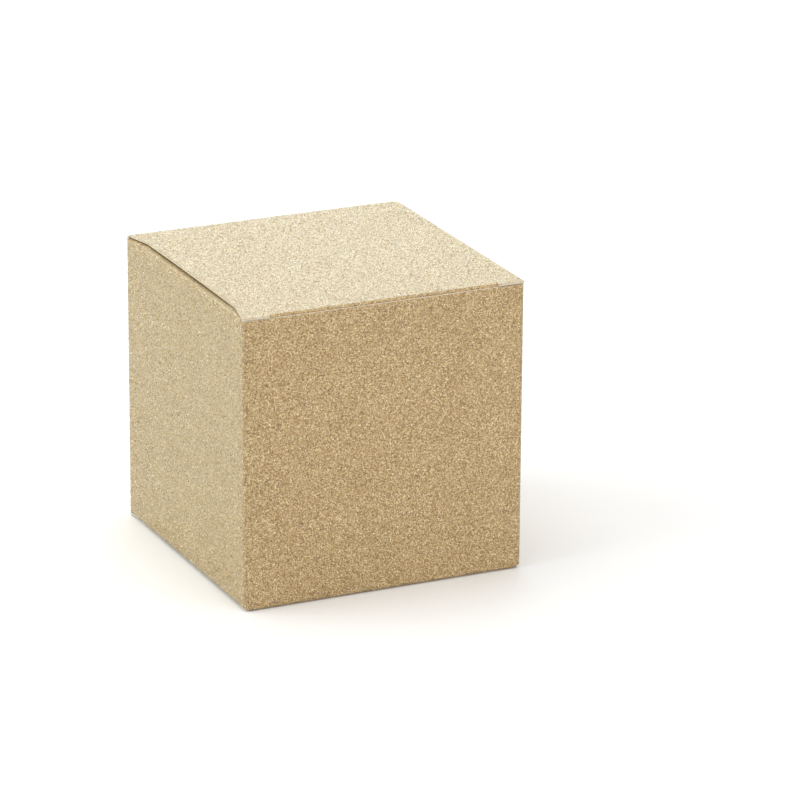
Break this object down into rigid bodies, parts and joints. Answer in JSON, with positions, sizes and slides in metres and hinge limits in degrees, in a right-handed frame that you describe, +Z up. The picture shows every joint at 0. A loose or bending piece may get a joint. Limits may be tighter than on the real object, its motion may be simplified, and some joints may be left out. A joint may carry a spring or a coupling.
{
  "type": "favor box",
  "caption": "Cube-shaped folding card box in gold glitter card, with a hinged tuck-in lid, a tuck-in base and dust flaps, to hold small sweets or gifts.",
  "frame": {"origin": "middle of the closed base's underside, which rests on the table", "axes": "+Z up, -Y out of the front wall that the lid tucks behind, +X towards the right wall"},
  "size_m": [0.0762, 0.0762, 0.0762],
  "materials": {
    "glitter_card": "gold glitter coat outside, plain pale card inside and on the cut edges",
    "glue": "dried white carton glue"
  },
  "bodies": {
    "wall_tube": {"front_wall": "glitter_card", "back_wall": "glitter_card", "left_wall": "glitter_card", "right_wall": "glitter_card", "front_left_fold": "glitter_card", "front_right_fold": "glitter_card", "back_left_fold": "glitter_card", "glue_tab_fold": "glitter_card", "glue_tab": "glitter_card", "seam_glue": "glue", "lid_crease": "glitter_card", "base_crease": "glitter_card", "top_left_flap_crease": "glitter_card", "top_right_flap_crease": "glitter_card", "bottom_left_flap_crease": "glitter_card", "bottom_right_flap_crease": "glitter_card"},
    "lid": {"lid": "glitter_card", "lid_tuck_crease": "glitter_card"},
    "lid_tuck": {"lid_tuck_flap": "glitter_card"},
    "top_left_flap": {"top_left_dust_flap": "glitter_card"},
    "top_right_flap": {"top_right_dust_flap": "glitter_card"},
    "base": {"base_panel": "glitter_card", "base_tuck_crease": "glitter_card"},
    "base_tuck": {"base_tuck_flap": "glitter_card"},
    "bottom_left_flap": {"bottom_left_dust_flap": "glitter_card"},
    "bottom_right_flap": {"bottom_right_dust_flap": "glitter_card"}
  },
  "joints": [
    {"name": "lid_hinge", "type": "hinge", "parent": "wall_tube", "child": "lid", "pos_m": [0, 0.0377, 0.0758], "axis": [-1, 0, 0], "range_deg": [0, 175]},
    {"name": "lid_tuck_hinge", "type": "hinge", "parent": "lid", "child": "lid_tuck", "pos_m": [0, -0.03705, 0.0758], "axis": [1, 0, 0], "range_deg": [0, 45]},
    {"name": "top_left_flap_hinge", "type": "hinge", "parent": "wall_tube", "child": "top_left_flap", "pos_m": [-0.0377, 0, 0.0751], "axis": [0, -1, 0], "range_deg": [0, 87.5]},
    {"name": "top_right_flap_hinge", "type": "hinge", "parent": "wall_tube", "child": "top_right_flap", "pos_m": [0.0377, 0, 0.0751], "axis": [0, 1, 0], "range_deg": [0, 87.5]},
    {"name": "base_hinge", "type": "hinge", "parent": "wall_tube", "child": "base", "pos_m": [0, -0.0377, 0.0004], "axis": [-1, 0, 0], "range_deg": [0, 175]},
    {"name": "base_tuck_hinge", "type": "hinge", "parent": "base", "child": "base_tuck", "pos_m": [0, 0.03705, 0.0004], "axis": [1, 0, 0], "range_deg": [0, 45]},
    {"name": "bottom_left_flap_hinge", "type": "hinge", "parent": "wall_tube", "child": "bottom_left_flap", "pos_m": [-0.0377, 0, 0.0011], "axis": [0, 1, 0], "range_deg": [0, 87.5]},
    {"name": "bottom_right_flap_hinge", "type": "hinge", "parent": "wall_tube", "child": "bottom_right_flap", "pos_m": [0.0377, 0, 0.0011], "axis": [0, -1, 0], "range_deg": [0, 87.5]}
  ],
  "couplings": [
    {"joint": "top_left_flap_hinge", "follows": "lid_hinge", "ratio": 0.5},
    {"joint": "top_right_flap_hinge", "follows": "lid_hinge", "ratio": 0.5},
    {"joint": "bottom_left_flap_hinge", "follows": "base_hinge", "ratio": 0.5},
    {"joint": "bottom_right_flap_hinge", "follows": "base_hinge", "ratio": 0.5}
  ]
}
